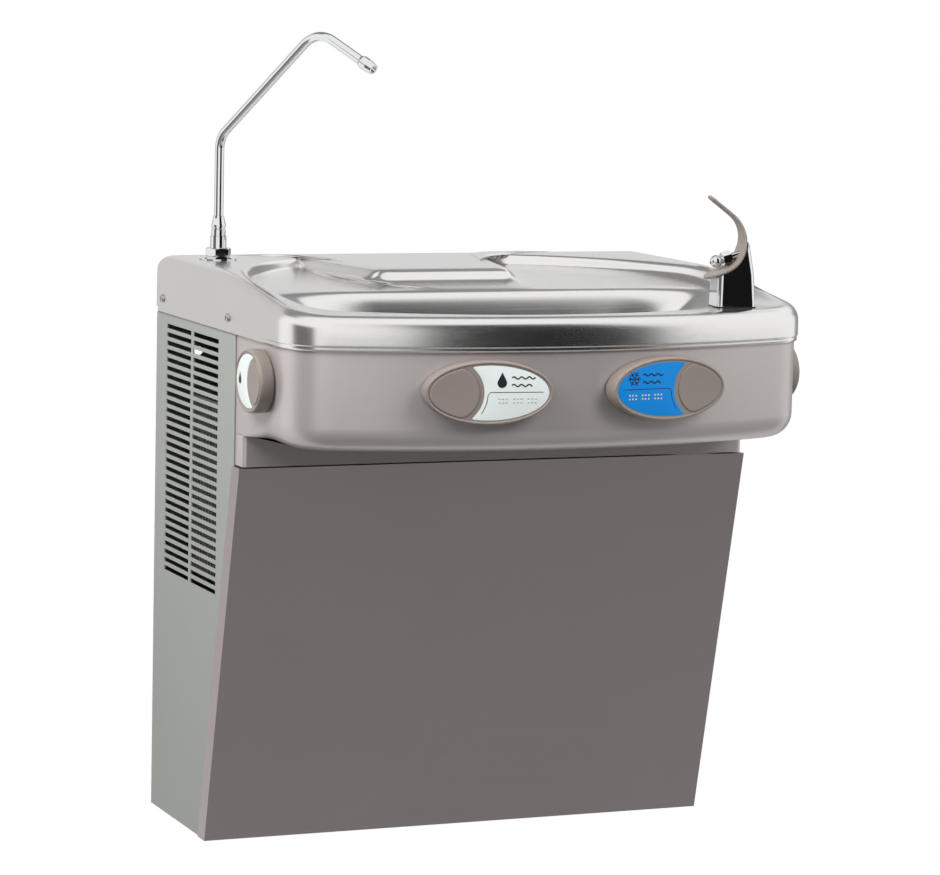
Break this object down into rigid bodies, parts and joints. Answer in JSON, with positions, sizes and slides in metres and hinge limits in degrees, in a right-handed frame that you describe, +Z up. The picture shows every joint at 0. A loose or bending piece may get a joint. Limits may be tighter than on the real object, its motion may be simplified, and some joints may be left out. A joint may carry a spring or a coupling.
{
  "type": "pressure water cooler",
  "caption": "Wall-hung chilled water cooler with a pressed stainless basin, a swivelling glass filler, a mouth bubbler with a guard, push plates and louvred side panels",
  "frame": {"origin": "centre of the four wall fixing holes, on the wall face of the back plate", "axes": "X to the right as seen from the front, Y into the wall, Z up"},
  "size_m": [0.4804, 0.3994, 0.6836],
  "materials": {
    "satin_stainless": "satin",
    "bright_stainless": "brushed",
    "grey_paint": "satin",
    "pan_steel": "brushed",
    "moulded_front": "satin",
    "galvanised": "satin",
    "chrome": "polished",
    "taupe_plastic": "satin",
    "pale_label": "satin",
    "blue_label": "satin",
    "black_rubber": "matte",
    "black_plastic": "matte",
    "white_plastic": "satin",
    "brass": "satin",
    "copper": "satin",
    "aluminium": "satin",
    "black_enamel": "gloss",
    "spring_steel": "satin",
    "foam": "matte",
    "blue_plastic": "satin",
    "clear_tube": "gloss"
  },
  "bodies": {
    "cabinet": {"basin": "bright_stainless", "apron": "moulded_front", "left_side_panel": "grey_paint", "right_side_panel": "grey_paint", "front_panel": "pan_steel", "back_plate": "galvanised", "base_pan": "galvanised", "skirt_screws": "satin_stainless", "panel_screws": "satin_stainless", "spout_flange": "chrome", "spout_body": "chrome", "spout_gland_nut": "chrome", "spout_seal": "black_rubber", "deck_lock_nuts": "brass", "bubbler_body": "chrome", "bubbler_nozzle": "chrome", "mouth_guard": "taupe_plastic", "bubbler_gasket": "black_rubber", "drain_strainer": "satin_stainless", "drain_seal": "black_rubber", "drain_nut": "white_plastic", "drain_pipe": "white_plastic", "front_bezels": "taupe_plastic", "side_bezels": "taupe_plastic", "front_left_spring": "spring_steel", "front_right_spring": "spring_steel", "left_side_spring": "spring_steel", "right_side_spring": "spring_steel", "natural_labels": "pale_label", "chilled_labels": "blue_label", "bezel_nuts": "black_plastic", "button_switches": "black_plastic", "compressor": "black_enamel", "compressor_grommets": "black_rubber", "terminal_cover": "black_plastic", "condenser_fins": "aluminium", "condenser_coil": "copper", "fan_shroud": "galvanised", "fan_motor": "black_enamel", "tank_shelf": "galvanised", "cold_tank": "satin_stainless", "tank_insulation": "foam", "evaporator_coil": "copper", "filter_cartridge": "white_plastic", "filter_head": "blue_plastic", "solenoid_valves": "white_plastic", "inlet_fitting": "brass", "thermostat": "black_plastic", "water_lines": "clear_tube", "refrigerant_lines": "copper", "cord_gland": "black_plastic"},
    "front_left_button": {"front_left_button": "taupe_plastic"},
    "front_right_button": {"front_right_button": "taupe_plastic"},
    "left_side_button": {"left_side_button": "taupe_plastic"},
    "right_side_button": {"right_side_button": "taupe_plastic"},
    "filler_arm": {"spout_tube": "chrome", "spout_tip": "chrome"},
    "fan": {"fan_shaft": "spring_steel", "fan_blade": "white_plastic"},
    "knob": {"thermostat_knob": "black_plastic"}
  },
  "joints": [
    {"name": "front_left_button_press", "type": "slide", "parent": "cabinet", "child": "front_left_button", "axis": [0.1264, 0.992, 0], "range_m": [0, 0.003], "stiffness_N_per_m": 900, "springref_m": -0.002, "deforming": ["front_left_spring"]},
    {"name": "front_right_button_press", "type": "slide", "parent": "cabinet", "child": "front_right_button", "axis": [-0.1264, 0.992, 0], "range_m": [0, 0.003], "stiffness_N_per_m": 900, "springref_m": -0.002, "deforming": ["front_right_spring"]},
    {"name": "left_side_button_press", "type": "slide", "parent": "cabinet", "child": "left_side_button", "axis": [1, 0, 0], "range_m": [0, 0.003], "stiffness_N_per_m": 900, "springref_m": -0.002, "deforming": ["left_side_spring"]},
    {"name": "right_side_button_press", "type": "slide", "parent": "cabinet", "child": "right_side_button", "axis": [-1, 0, 0], "range_m": [0, 0.003], "stiffness_N_per_m": 900, "springref_m": -0.002, "deforming": ["right_side_spring"]},
    {"name": "filler_swivel", "type": "hinge", "parent": "cabinet", "child": "filler_arm", "pos_m": [-0.194, -0.062, 0.245], "axis": [0, 0, 1], "range_deg": [-30, 45]},
    {"name": "fan_spin", "type": "hinge", "parent": "cabinet", "child": "fan", "pos_m": [-0.174, -0.095, 0.042], "axis": [1, 0, 0], "continuous": true},
    {"name": "knob_turn", "type": "hinge", "parent": "cabinet", "child": "knob", "pos_m": [-0.15, -0.038, -0.138], "axis": [0, -1, 0], "range_deg": [-135, 135]}
  ]
}
